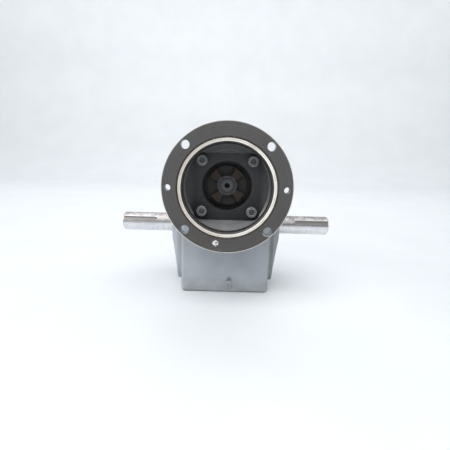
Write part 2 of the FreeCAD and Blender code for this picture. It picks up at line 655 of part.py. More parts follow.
def make_housing():
    """One-piece cast housing: gear case below, worm tunnel above, tapped bosses inside."""
    outline = [
        vec(-HOUSING_BASE_HALF_X, -HOUSING_HALF_Y, 0),
        vec(HOUSING_BASE_HALF_X, -HOUSING_HALF_Y, 0),
        vec(HOUSING_HALF_X, -HOUSING_HALF_Y, HOUSING_DRAFT_Z),
        vec(HOUSING_HALF_X, -HOUSING_HALF_Y, HOUSING_BOX_TOP),
        vec(-HOUSING_HALF_X, -HOUSING_HALF_Y, HOUSING_BOX_TOP),
        vec(-HOUSING_HALF_X, -HOUSING_HALF_Y, HOUSING_DRAFT_Z),
    ]
    box = Part.Face(Part.makePolygon(outline + [outline[0]])).extrude(vec(0, 2.0 * HOUSING_HALF_Y, 0))
    uprights = [e for e in box.Edges if abs(e.tangentAt(e.FirstParameter).z) > 0.9]
    box = box.makeFillet(6.0, uprights)
    box = box.makeFillet(3.0, [e for e in box.Edges if e.BoundBox.ZMax < 0.01])
    upper = block(-HOUSING_UPPER_HALF_X, HOUSING_UPPER_HALF_X, -HOUSING_HALF_Y, HOUSING_HALF_Y,
                  HOUSING_BOX_TOP - 20, HOUSING_TOP)
    upper = upper.makeFillet(20.0, edges_along(upper, Y_AXIS, lambda c: c.z > HOUSING_TOP - 1))
    body = box.fuse(upper)
    for side in (-1, 1):
        pad = cover_outline(3.0, HOUSING_HALF_X - 5, HOUSING_HALF_X)
        body = body.fuse(pad if side > 0 else mirrored(pad))
    body = body.fuse([make_front_pad(), Part.makeCylinder(13.0, 2.0, VENT_PLUG_PLACE)])
    body = body.cut(Part.makeSphere(3.0, vec(7.5, -HOUSING_HALF_Y - 1.4, 20.5)))

    inner_x = HOUSING_BASE_HALF_X - WALL
    inner_y = HOUSING_HALF_Y - WALL
    cavity = block(-inner_x, inner_x, -inner_y, inner_y, WALL, 150.0)
    cavity = cavity.makeFillet(6.0, edges_along(cavity, Z_AXIS, lambda c: True))
    keep = []
    for low, high in ((-inner_y - 1, -INPUT_BEARING_NEAR + 1), (INPUT_BEARING_NEAR - 1, inner_y + 1)):
        keep.append(in_y(disc(INPUT_BEARING_R + 5.5, low, high)))
    for place in flange_screw_places(-inner_y - 1)[0::2]:
        keep.append(Part.makeCylinder(9.0, 13.0, place, Y_AXIS))
    for place in cap_screw_places(inner_y - 9)[2:]:
        keep.append(Part.makeCylinder(7.5, 12.0, place, Y_AXIS))
    for place in base_hole_places():
        keep.append(Part.makeCylinder(10.0, 21.0, place))
    for side in (-1, 1):
        for y, z in COVER_SCREWS:
            keep.append(Part.makeCylinder(8.0, 19.0, vec(side * 65.0, y, OUTPUT_Z + z), vec(-side, 0, 0)))
    keep.append(Part.makeCylinder(11.0, 12.0, LEVEL_PLUG_PLACE, vec(0, -1, 0)))
    keep.append(Part.makeCylinder(11.0, 12.0, DRAIN_PLUG_PLACE, vec(0, -1, 0)))
    cavity = cavity.cut(keep)
    body = body.cut(cavity)

    gear_room = out_x(disc(GEAR_TIP_R + 1.8, -18.5, 18.5))
    worm_room = in_y(disc(INPUT_BEARING_R + 1.0, -INPUT_BEARING_NEAR + 1, INPUT_BEARING_NEAR - 1))
    cuts = [
        gear_room,
        out_x(disc(26.0, -45.0, 45.0)),
        worm_room,
        out_x(disc(SIDE_OPENING_R, -70.0, 70.0).cut(disc(SIDE_OPENING_R + 1, -45.0, 45.0))),
        in_y(disc(INPUT_BEARING_R, -INPUT_BEARING_FAR, -INPUT_BEARING_NEAR + 2)),
        in_y(disc(INPUT_SEAL_R, HUB_BACK, -INPUT_BEARING_FAR + 1)),
        in_y(disc(ADAPTER_BORE_R, -HOUSING_HALF_Y - 1, HUB_BACK + 0.6)),
        in_y(disc(INPUT_BEARING_R, INPUT_BEARING_NEAR - 2, HOUSING_HALF_Y + 1)),
    ]
    for place in flange_screw_places(-HOUSING_HALF_Y - 1):
        cuts.append(Part.makeCylinder(FLANGE_SCREW_R + CLEAR, 17.0, place, Y_AXIS))
    for place in cap_screw_places(HOUSING_HALF_Y + 1):
        cuts.append(Part.makeCylinder(CAP_SCREW_R + CLEAR, 14.0, place, vec(0, -1, 0)))
    for place in base_hole_places():
        cuts.append(Part.makeCylinder(BASE_HOLE_R, 15.0, place))
    for side in (-1, 1):
        for y, z in COVER_SCREWS:
            place = vec(side * 66.0, y, OUTPUT_Z + z)
            cuts.append(Part.makeCylinder(COVER_SCREW_R + CLEAR, 16.5, place, vec(-side, 0, 0)))
    for place, direction in ((LEVEL_PLUG_PLACE, vec(0, -1, 0)), (DRAIN_PLUG_PLACE, vec(0, -1, 0))):
        cuts.append(Part.makeCylinder(PLUG_R + CLEAR, 14.0, place, direction))
    cuts.append(Part.makeCylinder(PLUG_R + CLEAR, 40.0, VENT_PLUG_PLACE + vec(0, 0, 3), vec(0, 0, -1)))
    return body.cut(cuts)


def adapter_wire(height):
    """Outside outline of the bell where it meets the housing."""
    return rounded_wire(ADAPTER_HALF_X, ADAPTER_HALF_Z, ADAPTER_CORNER_R, height)


def make_motor_flange():
    """Hollow motor adapter: flange, bell with a rounded square cast bore and a drilled floor."""
    flange = disc(FLANGE_R, FLANGE_FRONT, FLANGE_BACK)
    flange = flange.makeChamfer(0.8, flange.Edges[0:1] + flange.Edges[2:3])
    neck = Part.makeCone(NECK_R, ADAPTER_HALF_Z, 16.0, vec(0, 0, FLANGE_BACK))
    sleeve = Part.Face(adapter_wire(FLANGE_BACK)).extrude(vec(0, 0, ADAPTER_BACK - FLANGE_BACK))
    body = flange.fuse([neck, sleeve])

    throat = FLANGE_FRONT + PILOT_DEPTH
    floor = cavity_floor_wire(ADAPTER_FLOOR)
    hollow = Part.makeLoft([
        circle_wire_matching(CAVITY_MOUTH_R, floor, throat - 0.01),
        floor,
    ], True, True)
    cuts = [
        hollow,
        disc(LAND_R, FLANGE_FRONT - 1, FLANGE_FRONT + LAND_DEPTH),
        disc(PILOT_R, FLANGE_FRONT, throat),
        Part.makeCone(PILOT_R + 1.3, PILOT_R, 1.3, vec(0, 0, FLANGE_FRONT + LAND_DEPTH)),
        disc(ADAPTER_BORE_R, ADAPTER_FLOOR - 1, ADAPTER_BACK + 1),
        Part.makeCone(ADAPTER_BORE_R + 1.75, ADAPTER_BORE_R, 1.75, vec(0, 0, ADAPTER_FLOOR)),
    ]
    for angle in angles_around(4, 45.0):
        place = vec(BOLT_CIRCLE_R * math.cos(angle), BOLT_CIRCLE_R * math.sin(angle), FLANGE_FRONT - 1)
        cuts.append(Part.makeCylinder(MOTOR_HOLE_R, 40, place))
    for sign in (-1, 1):
        cuts.append(Part.makeCylinder(SMALL_HOLE_R, 40, vec(sign * BOLT_CIRCLE_R, 0, FLANGE_FRONT - 1)))
    body = in_y(body.cut(cuts))
    holes = [Part.makeCylinder(FLANGE_SCREW_HOLE_R, 40, place, Y_AXIS) for place in flange_screw_places(-90)]
    return body.cut(holes)


def make_flange_gasket():
    plate = Part.Face(adapter_wire(ADAPTER_BACK)).extrude(vec(0, 0, -HOUSING_HALF_Y - ADAPTER_BACK))
    plate = in_y(plate.cut(disc(ADAPTER_BORE_R, ADAPTER_BACK - 1, ADAPTER_BACK + 2)))
    holes = [Part.makeCylinder(FLANGE_SCREW_HOLE_R, 40, place, Y_AXIS) for place in flange_screw_places(-80)]
    return plate.cut(holes)


def make_flange_screws():
    screw = cap_screw(FLANGE_SCREW_R, 27.0, 7.14, 9.525, 4.58)
    places = flange_screw_places(ADAPTER_FLOOR)
    return Part.makeCompound([point_out(screw, place, vec(0, -1, 0)) for place in places])


def cap_screw_holes():
    places = cap_screw_places(CAP_FACE - 2)
    return [Part.makeCylinder(CAP_SCREW_R + HOLE_PLAY, 20, place, Y_AXIS) for place in places]


def make_rear_bearing_cap():
    """Cap over the rear bearing, its spigot clamps the outer ring through the shim."""
    cap = disc(CAP_R, CAP_FACE, CAP_FACE + CAP_THICKNESS)
    cap = cap.makeFillet(1.5, [e for e in cap.Edges if e.CenterOfMass.z > CAP_FACE + CAP_THICKNESS - 0.1])
    boss = Part.makeCone(24.0, 21.0, 3.0, vec(0, 0, CAP_FACE + CAP_THICKNESS))
    spigot = disc(INPUT_BEARING_R - RUN, INPUT_BEARING_FAR + 0.5, CAP_FACE)
    cap = cap.fuse([boss, spigot])
    cap = cap.cut(disc(20.0, INPUT_BEARING_FAR, CAP_FACE + 2.0))
    cap = in_y(cap)
    return cap.cut(cap_screw_holes())


def make_rear_cap_gasket():
    gasket = in_y(tube(CAP_R, INPUT_BEARING_R, HOUSING_HALF_Y, CAP_FACE))
    return gasket.cut(cap_screw_holes())


def make_rear_cap_screws():
    screw = cap_screw(CAP_SCREW_R, 18.0, 4.8, 6.35, 3.0)
    places = cap_screw_places(CAP_FACE + CAP_THICKNESS)
    return Part.makeCompound([point_out(screw, place, Y_AXIS) for place in places])


def make_bearing_shim():
    return in_y(tube(INPUT_BEARING_R - RUN, 20.5, INPUT_BEARING_FAR, INPUT_BEARING_FAR + 0.5))


def make_pipe_plug():
    """Hex socket pipe plug along Z, flush face at 0."""
    return disc(PLUG_R, -10.0, 1.5).cut(hexagon(3.8, -5.0, 5.0))


def make_vent_plug():
    """Breather: threaded stem, hexagon and domed cap with side vents."""
    stem = disc(PLUG_R, -10.0, 2.2)
    cap = disc(7.4, 8.0, 13.0)
    cap = cap.makeFillet(1.8, [e for e in cap.Edges if e.CenterOfMass.z > 12.9])
    vent = stem.fuse([hexagon(9.2, 2.0, 8.0), cap])
    vent = vent.cut(disc(1.6, -11, 10.5))
    for turn in (0, 90):
        side_hole = Part.makeCylinder(1.0, 20, vec(-10, 0, 9.6), X_AXIS)
        side_hole.rotate(ZERO, Z_AXIS, turn)
        vent = vent.cut(side_hole)
    return point_out(vent, VENT_PLUG_PLACE, Z_AXIS)


def build():
    nodes = {}
    nodes["housing"] = make_housing()
    nodes["motor_flange"] = make_motor_flange()
    nodes["flange_gasket"] = make_flange_gasket()
    nodes["flange_screws"] = make_flange_screws()
    nodes["rear_bearing_cap"] = make_rear_bearing_cap()
    nodes["rear_cap_gasket"] = make_rear_cap_gasket()
    nodes["rear_cap_screws"] = make_rear_cap_screws()
    nodes["rear_bearing_shim"] = make_bearing_shim()
    nodes["vent_plug"] = make_vent_plug()
    nodes["level_plug"] = point_out(make_pipe_plug(), LEVEL_PLUG_PLACE, Y_AXIS)
    nodes["drain_plug"] = point_out(make_pipe_plug(), DRAIN_PLUG_PLACE, Y_AXIS)
    seal = make_seal(INPUT_SEAL_R, INPUT_SHAFT_R, INPUT_SEAL_WIDTH)
    seal = shifted(seal, -INPUT_BEARING_FAR - INPUT_SEAL_WIDTH - 0.5)
    nodes["input_seal"] = in_y(seal)

    nodes["worm_shaft"] = make_worm_shaft()
    nodes["coupling_hub"] = make_coupling_hub()
    nodes["coupling_key"] = make_coupling_key()
    nodes["coupling_set_screw"] = make_coupling_set_screw()
    nodes["rear_retaining_ring"] = make_rear_retaining_ring()
    input_bearing = bearing(INPUT_BEARING_R, INPUT_SHAFT_R, INPUT_BEARING_WIDTH, INPUT_BALL_R, BALL_COUNT)
    for name, middle in (("front", -INPUT_BEARING_MID), ("rear", INPUT_BEARING_MID)):
        for piece, shape in input_bearing.items():
            nodes[name + "_input_bearing_" + piece] = in_y(shifted(shape, middle))

    nodes["output_shaft"] = make_output_shaft()
    nodes["worm_gear"] = make_worm_gear()
    nodes["gear_hub"] = make_gear_hub()
    nodes["gear_screws"] = make_gear_screws()
    nodes["gear_key"] = make_gear_key()
    nodes["gear_retaining_ring"] = make_gear_retaining_ring()
    nodes["left_spacer"] = mirrored(make_spacer(-COLLAR_LOW))
    nodes["right_spacer"] = make_spacer(SEAT_HIGH)

    output_bearing = bearing(
        OUTPUT_BEARING_R, OUTPUT_JOURNAL_R, OUTPUT_BEARING_WIDTH, OUTPUT_BALL_R, BALL_COUNT
    )
    output_seal = make_seal(OUTPUT_SEAL_R, OUTPUT_SEAL_LAND_R, OUTPUT_SEAL_WIDTH)
    right = {
        "side_cover": make_side_cover(),
        "cover_gasket": make_cover_gasket(),
        "cover_screws": make_cover_screws(),
        "output_seal": out_x(shifted(output_seal, OUTPUT_SEAL_X)),
    }
    for piece, shape in output_bearing.items():
        right["output_bearing_" + piece] = out_x(shifted(shape, OUTPUT_BEARING_MID))
    for piece, shape in right.items():
        nodes["right_" + piece] = shape
        nodes["left_" + piece] = mirrored(shape)
    return nodes


os.makedirs("parts", exist_ok=True)
for node_name, node_shape in build().items():
    node_shape.exportStep("parts/" + node_name + ".step")
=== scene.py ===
import json
import math

import bpy
from mathutils import Matrix, Vector


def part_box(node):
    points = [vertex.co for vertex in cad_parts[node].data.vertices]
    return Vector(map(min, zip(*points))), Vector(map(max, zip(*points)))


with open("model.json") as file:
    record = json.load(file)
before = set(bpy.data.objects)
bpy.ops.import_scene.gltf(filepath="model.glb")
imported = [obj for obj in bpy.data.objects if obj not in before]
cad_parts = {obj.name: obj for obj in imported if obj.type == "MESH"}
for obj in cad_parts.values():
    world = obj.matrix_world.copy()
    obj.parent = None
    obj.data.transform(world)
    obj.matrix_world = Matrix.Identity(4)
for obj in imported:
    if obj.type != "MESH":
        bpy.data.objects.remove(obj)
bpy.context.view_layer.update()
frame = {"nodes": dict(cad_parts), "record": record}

NODES = frame["nodes"]


# Places read from the frame

def middle_z(node):
    low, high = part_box(node)
    return (low[2] + high[2]) / 2.0


OUTPUT_Z = middle_z("output_shaft")
INPUT_Z = middle_z("worm_shaft")
SHAFT_END_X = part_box("output_shaft")[1][0]
FLANGE_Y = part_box("motor_flange")[0][1]
HUB_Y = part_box("coupling_hub")[0][1]


# Camera, room, lights and table

CAMERA_AHEAD = 0.43374          # in front of the flange face
CAMERA_SIDE = -0.0025
CAMERA_ABOVE = 0.0460           # above the input axis
CAMERA_YAW = 0.0021             # radians, as are the next two
CAMERA_PITCH = 0.2080
CAMERA_ROLL = 0.0275
SENSOR_WIDTH = 36.0             # mm, as is the lens
LENS = 28.0
CLIP_END = 50.0

# Where the room turns from dark to light, along each component of the direction looked in
ROOM_FRONT_FROM, ROOM_FRONT_TO = -0.35, 0.05
ROOM_RIGHT_FROM, ROOM_RIGHT_TO = 0.70, 0.20
ROOM_DARK_TOP, ROOM_LIGHT_FROM = 0.22, 0.60
ROOM_DARK = (0.24, 0.255, 0.27)
ROOM_LIGHT = (0.88, 0.915, 0.95)
ROOM_STRENGTH = 0.55

# Name, place, target, size and watts of each area light
LIGHTS = (
    ("key", (-0.95, -0.75, 1.40), (0.0, 0.0, 0.1), (1.5, 1.5), 17.5),
    ("fill", (0.0, -1.10, 1.05), (0.0, 0.0, 0.1), (0.9, 0.9), 5.2),
    ("top", (0.25, 0.1, 1.7), (0.2, -0.1, 0.0), (2.8, 1.8), 24.0),
    ("backdrop", (0.0, 0.7, 1.9), (0.0, 2.6, 1.2), (7.5, 0.8), 66.0),
)

TABLE_HALF_WIDTH = 30.0
TABLE_FRONT_Y = -12.0
BEND_Y = 1.6                    # where the table starts to curve up
BEND_R = 0.9
BEND_STEPS = 16
BACKDROP_TOP = 4.0
SHADOW_LIFT_X = 0.06                  # middle of the patch of painted light under the gearbox, which lifts its shadow
SHADOW_LIFT_FROM, SHADOW_LIFT_TO = 0.24, 0.06


def add_camera():
    """Camera in front of the flange and a little above it, looking down."""
    data = bpy.data.cameras.new("camera")
    data.sensor_width = SENSOR_WIDTH
    data.lens = LENS
    data.clip_end = CLIP_END
    camera = bpy.data.objects.new("camera", data)
    bpy.context.collection.objects.link(camera)
    forward = Vector((
        math.sin(CAMERA_YAW) * math.cos(CAMERA_PITCH),
        math.cos(CAMERA_YAW) * math.cos(CAMERA_PITCH),
        -math.sin(CAMERA_PITCH),
    ))
    level = Vector((math.cos(CAMERA_YAW), -math.sin(CAMERA_YAW), 0.0))
    above = level.cross(forward)
    right = level * math.cos(CAMERA_ROLL) + above * math.sin(CAMERA_ROLL)
    up = above * math.cos(CAMERA_ROLL) - level * math.sin(CAMERA_ROLL)
    turn = Matrix((right, up, -forward)).transposed()
    place = Vector((CAMERA_SIDE, FLANGE_Y - CAMERA_AHEAD, INPUT_Z + CAMERA_ABOVE))
    camera.matrix_world = Matrix.Translation(place) @ turn.to_4x4()
    bpy.context.scene.camera = camera


def add_light(name, place, target, size, watts):
    """Rectangular area light at a place, aimed at a target."""
    data = bpy.data.lights.new(name, "AREA")
    data.shape = "RECTANGLE"
    data.size, data.size_y = size
    data.energy = watts
    light = bpy.data.objects.new(name, data)
    bpy.context.collection.objects.link(light)
    aim = Vector(target) - Vector(place)
    light.rotation_euler = aim.to_track_quat("-Z", "Y").to_euler()
    light.location = place


def add_room():
    """Soft pale room, dark near the horizon on the camera's side and on the right."""
    world = bpy.data.worlds.new("studio")
    bpy.context.scene.world = world
    world.use_nodes = True
    nodes, links = world.node_tree.nodes, world.node_tree.links
    aim = nodes.new("ShaderNodeSeparateXYZ")
    links.new(nodes.new("ShaderNodeTexCoord").outputs["Generated"], aim.inputs[0])

    def step(axis, dark_at, light_at):
        node = nodes.new("ShaderNodeMapRange")
        node.interpolation_type = "SMOOTHSTEP"
        links.new(aim.outputs[axis], node.inputs["Value"])
        node.inputs["From Min"].default_value = dark_at
        node.inputs["From Max"].default_value = light_at
        return node.outputs["Result"]

    def pick(operation, a, b):
        node = nodes.new("ShaderNodeMath")
        node.operation = operation
        links.new(a, node.inputs[0])
        links.new(b, node.inputs[1])
        return node.outputs[0]

    behind = step("Y", ROOM_FRONT_FROM, ROOM_FRONT_TO)
    left = step("X", ROOM_RIGHT_FROM, ROOM_RIGHT_TO)
    light = pick("MAXIMUM", pick("MINIMUM", behind, left), step("Z", ROOM_DARK_TOP, ROOM_LIGHT_FROM))
    colour = nodes.new("ShaderNodeMix")
    colour.data_type = "RGBA"
    links.new(light, colour.inputs[0])
    colour.inputs[6].default_value = (*ROOM_DARK, 1.0)
    colour.inputs[7].default_value = (*ROOM_LIGHT, 1.0)
    links.new(colour.outputs[2], nodes["Background"].inputs["Color"])
    nodes["Background"].inputs["Strength"].default_value = ROOM_STRENGTH


def table_paint():
    """Pale and nearly even, with a patch of painted light under the gearbox that lifts its shadow."""
    graph = Graph("table")
    x, y, _ = graph.coordinates()
    cloud = graph.noise(6.0, 3.0)
    tone = graph.blend(graph.span(cloud, 0.3, 0.7), (0.665, 0.688, 0.711), (0.692, 0.715, 0.738))
    # painted light: paler patch under the gearbox, lifting its shadow
    shadow_lift = graph.span(graph.distance(graph.math("SUBTRACT", x, SHADOW_LIFT_X), y), SHADOW_LIFT_FROM, SHADOW_LIFT_TO)
    tone = graph.blend(graph.product(shadow_lift, 0.55), tone, (0.85, 0.875, 0.90))
    return graph.surface(tone, 0.45)


def add_stage():
    """Pale table that curves up into a pale backdrop."""
    outline = [(TABLE_FRONT_Y, 0.0), (BEND_Y, 0.0)]
    for index in range(1, BEND_STEPS + 1):
        angle = math.pi / 2.0 * index / BEND_STEPS
        outline.append((BEND_Y + BEND_R * math.sin(angle), BEND_R * (1.0 - math.cos(angle))))
    outline.append((BEND_Y + BEND_R, BACKDROP_TOP))
    vertices = [(x, y, z) for y, z in outline for x in (-TABLE_HALF_WIDTH, TABLE_HALF_WIDTH)]
    faces = [(2 * i, 2 * i + 1, 2 * i + 3, 2 * i + 2) for i in range(len(outline) - 1)]
    mesh = bpy.data.meshes.new("table")
    mesh.from_pydata(vertices, [], faces)
    for face in mesh.polygons:
        face.use_smooth = True
    mesh.materials.append(table_paint())
    table = bpy.data.objects.new("table", mesh)
    bpy.context.collection.objects.link(table)


# Node graphs

class Graph:
    """One material's node tree, with short calls for the nodes used here."""

    def __init__(self, name):
        self.material = bpy.data.materials.new(name)
        self.material.use_nodes = True
        self.tree = self.material.node_tree
        self.shader = self.tree.nodes["Principled BSDF"]
        self.place = self.add("ShaderNodeTexCoord").outputs["Object"]

    def add(self, kind, settings=None, **inputs):
        """New node. An underscore in an input's name stands for a space."""
        node = self.tree.nodes.new(kind)
        for key, value in (settings or {}).items():
            setattr(node, key, value)
        for key, value in inputs.items():
            self.put(node.inputs[key.replace("_", " ")], value)
        return node

    def put(self, socket, value):
        """Links another node's output to the socket, or sets a constant on it."""
        if isinstance(value, bpy.types.NodeSocket):
            self.tree.links.new(value, socket)
        elif isinstance(value, tuple) and len(value) == 3 and socket.type == "RGBA":
            socket.default_value = (*value, 1.0)
        else:
            socket.default_value = value

    def coordinates(self):
        node = self.add("ShaderNodeSeparateXYZ", Vector=self.place)
        return node.outputs["X"], node.outputs["Y"], node.outputs["Z"]

    def stretched(self, scale):
        return self.add("ShaderNodeMapping", Vector=self.place, Scale=scale).outputs["Vector"]

    def noise(self, scale, detail=4.0, roughness=0.55, vector=None):
        source = self.place if vector is None else vector
        node = self.add("ShaderNodeTexNoise", Vector=source, Scale=scale, Detail=detail, Roughness=roughness)
        return node.outputs["Fac"]

    def math(self, operation, a, b=0.0):
        node = self.add("ShaderNodeMath", {"operation": operation})
        self.put(node.inputs[0], a)
        self.put(node.inputs[1], b)
        return node.outputs[0]

    def product(self, first, *others):
        for factor in others:
            first = self.math("MULTIPLY", first, factor)
        return first

    def distance(self, a, b):
        """Length of the vector (a, b)."""
        return self.math("SQRT", self.math("ADD", self.math("POWER", a, 2.0), self.math("POWER", b, 2.0)))

    def about(self, side, z, axis_z):
        """Height above an axis at z = axis_z, and distance from it. Side is the other coordinate."""
        height = self.math("SUBTRACT", z, axis_z)
        return height, self.distance(side, height)

    def span(self, value, low, high, to_low=0.0, to_high=1.0):
        """Value rescaled smoothly from low..high to to_low..to_high, held outside."""
        node = self.add("ShaderNodeMapRange", {"interpolation_type": "SMOOTHSTEP"}, Value=value,
                        From_Min=low, From_Max=high, To_Min=to_low, To_Max=to_high)
        return node.outputs["Result"]

    def band(self, value, low, high, soft):
        """1 between low and high, fading to 0 over soft on both sides."""
        return self.product(self.span(value, low - soft, low), self.span(value, high + soft, high))

    def blend(self, factor, a, b):
        """Colour a where the factor is 0, b where it is 1."""
        node = self.add("ShaderNodeMix", {"data_type": "RGBA"})
        self.put(node.inputs[0], factor)
        self.put(node.inputs[6], a)
        self.put(node.inputs[7], b)
        return node.outputs[2]

    def edge_normal(self, radius):
        return self.add("ShaderNodeBevel", {"samples": 4}, Radius=radius).outputs["Normal"]

    def worn_edges(self, radius):
        """About 1 on sharp edges, 0 on flat faces."""
        dot = self.add("ShaderNodeVectorMath", {"operation": "DOT_PRODUCT"})
        self.put(dot.inputs[0], self.edge_normal(radius))
        self.put(dot.inputs[1], self.add("ShaderNodeNewGeometry").outputs["Normal"])
        return self.span(dot.outputs["Value"], 0.99, 0.80)

    def open_sky(self, reach):
        """1 in the open, towards 0 in corners closer than reach."""
        return self.add("ShaderNodeAmbientOcclusion", {"samples": 6}, Distance=reach).outputs["AO"]

    def corner_shade(self, reach, amount):
        """Painted shade: up to amount in corners closer than reach, 0 in the open."""
        return self.span(self.open_sky(reach), 0.75, 0.35, 0.0, amount)

    def bump(self, layers, edge_radius=0.0004):
        """Bump from (height, distance) layers over a slightly rounded edge normal."""
        under = self.edge_normal(edge_radius)
        for height, distance in layers:
            node = self.add("ShaderNodeBump", Height=height, Distance=distance, Normal=under)
            under = node.outputs["Normal"]
        self.put(self.shader.inputs["Normal"], under)

    def surface(self, colour, roughness, metallic=0.0, specular=0.5):
        self.put(self.shader.inputs["Base Color"], colour)
        self.put(self.shader.inputs["Roughness"], roughness)
        self.put(self.shader.inputs["Metallic"], metallic)
        self.put(self.shader.inputs["Specular IOR Level"], specular)
        return self.material


# Housing and flange

PAINT = (0.425, 0.454, 0.484)
FRONT_Y = -0.063                # front wall of the case
POCKET_R = 0.0340               # coupling pocket in the front wall
POCKET_SHADE_REACH = 0.013             # how far its painted shade reaches behind the wall
FOOT_Z = 0.030                  # the dirt at the foot reaches up to here
RIGHT_SHADE_X, RIGHT_SHADE_Y = (0.060, 0.067), (0.0, -0.045)              # where the painted shade on the right side starts and is full
PAD_SHADOW_X, PAD_SHADOW_Z = (0.0040, 0.0095), (0.0180, 0.0215)       # painted shadow above the small pad in front

RIM_R = 0.0820                  # the flange's rim is bare outside this, with a painted highlight low down
CORNER_R = 0.0815               # where the chamfer round its face starts
RING_R = 0.0635                 # outside of the bright ring
SCRATCH_R = 0.0603              # scratch on the ring
PILOT_WALL_R = 0.0600           # the pilot's wall lies within this
RINGS_PITCH = 0.0007            # of the turning marks
RINGS_SEED = 0.3

# Marks on the flange face, in x and in height above the input axis
CHIP_X, CHIP_Z = -0.0130, -0.0694
CHIP_RING = (0.0016, 0.0031)
LOW_BOLT_X, LOW_BOLT_Z = 0.05276, -0.05276                  # lower right bolt hole
LOW_BOLT_RING = (0.0063, 0.0067)
NICKS_X, NICKS_Z = (-0.014, -0.002), (-0.0825, -0.0790)

# The bell's hollow narrows from here to its floor, more at the top than at the bottom
BELL_FROM = 0.007
BELL_TOP, BELL_TOP_SLOPE = 0.0567, 0.387
BELL_BOTTOM, BELL_BOTTOM_SLOPE = 0.0557, 0.284
BELL_SIDE = 0.0570
BELL_R = 0.0640
BELL_FLOOR = 0.0385
LIT_X, LIT_Z = (0.034, 0.044), (-0.012, -0.034)             # painted highlight at the lower right


def shade(colour, factor):
    return tuple(channel * factor for channel in colour)


def cast_paint(graph):
    """Colour, roughness and bump layers of enamel over sand cast iron, with painted shade in its corners."""
    patches = graph.noise(32.0, 4.0, 0.55)
    grains = graph.noise(900.0, 3.0, 0.6)
    dust = graph.noise(160.0, 6.0, 0.7)
    tone = graph.blend(graph.span(patches, 0.30, 0.70), shade(PAINT, 0.94), shade(PAINT, 1.06))
    tone = graph.blend(graph.span(grains, 0.58, 0.74, 0.0, 0.22), tone, shade(PAINT, 0.80))
    tone = graph.blend(graph.span(dust, 0.60, 0.80, 0.0, 0.18), tone, shade(PAINT, 1.25))
    # painted shade: darker in corners
    tone = graph.blend(graph.corner_shade(0.006, 0.55), tone, shade(PAINT, 0.45))
    roughness = graph.span(dust, 0.3, 0.7, 0.46, 0.62)
    layers = [(graph.noise(110.0, 4.0, 0.6), 0.00022), (grains, 0.00008)]
    return tone, roughness, layers


def housing_paint():
    """Grey enamel with rubbed edges, a dirty foot, painted shade on the right side, a painted shadow above
    the small front pad and painted shade in the coupling pocket.
    """
    graph = Graph("housing_paint")
    x, y, z = graph.coordinates()
    tone, roughness, layers = cast_paint(graph)

    grime = graph.product(graph.span(z, FOOT_Z, 0.0), graph.span(graph.noise(48.0, 6.0), 0.35, 0.65), 0.45)
    tone = graph.blend(grime, tone, (0.190, 0.185, 0.175))
    # painted shade: the right side of the case darker
    right_shade = graph.product(graph.span(x, *RIGHT_SHADE_X), graph.span(y, *RIGHT_SHADE_Y),
                         graph.span(graph.noise(60.0, 5.0), 0.3, 0.7, 0.6, 0.9))
    tone = graph.blend(right_shade, tone, (0.200, 0.207, 0.208))
    # painted shadow above the small pad on the front wall
    smear_and_shadow = graph.product(graph.band(x, *PAD_SHADOW_X, 0.0015), graph.band(z, *PAD_SHADOW_Z, 0.0012),
                          graph.span(y, FRONT_Y + 0.003, FRONT_Y + 0.001), 0.6)
    tone = graph.blend(smear_and_shadow, tone, (0.170, 0.175, 0.180))
    wear = graph.product(graph.worn_edges(0.0012), graph.span(graph.noise(260.0, 5.0), 0.40, 0.60), 0.55)
    tone = graph.blend(wear, tone, (0.50, 0.53, 0.56))

    _, radius = graph.about(x, z, INPUT_Z)
    # painted shade: near black inside the coupling pocket
    pocket = graph.product(graph.span(radius, POCKET_R + 0.0005, POCKET_R - 0.0005),
                           graph.span(y, FRONT_Y + POCKET_SHADE_REACH + 0.005, FRONT_Y + POCKET_SHADE_REACH))
    pocket_shade = graph.blend(graph.noise(300.0, 5.0), (0.006, 0.006, 0.007), (0.014, 0.013, 0.013))
    tone = graph.blend(pocket, tone, pocket_shade)
    graph.bump(layers, 0.0008)
    return graph.surface(tone, roughness)


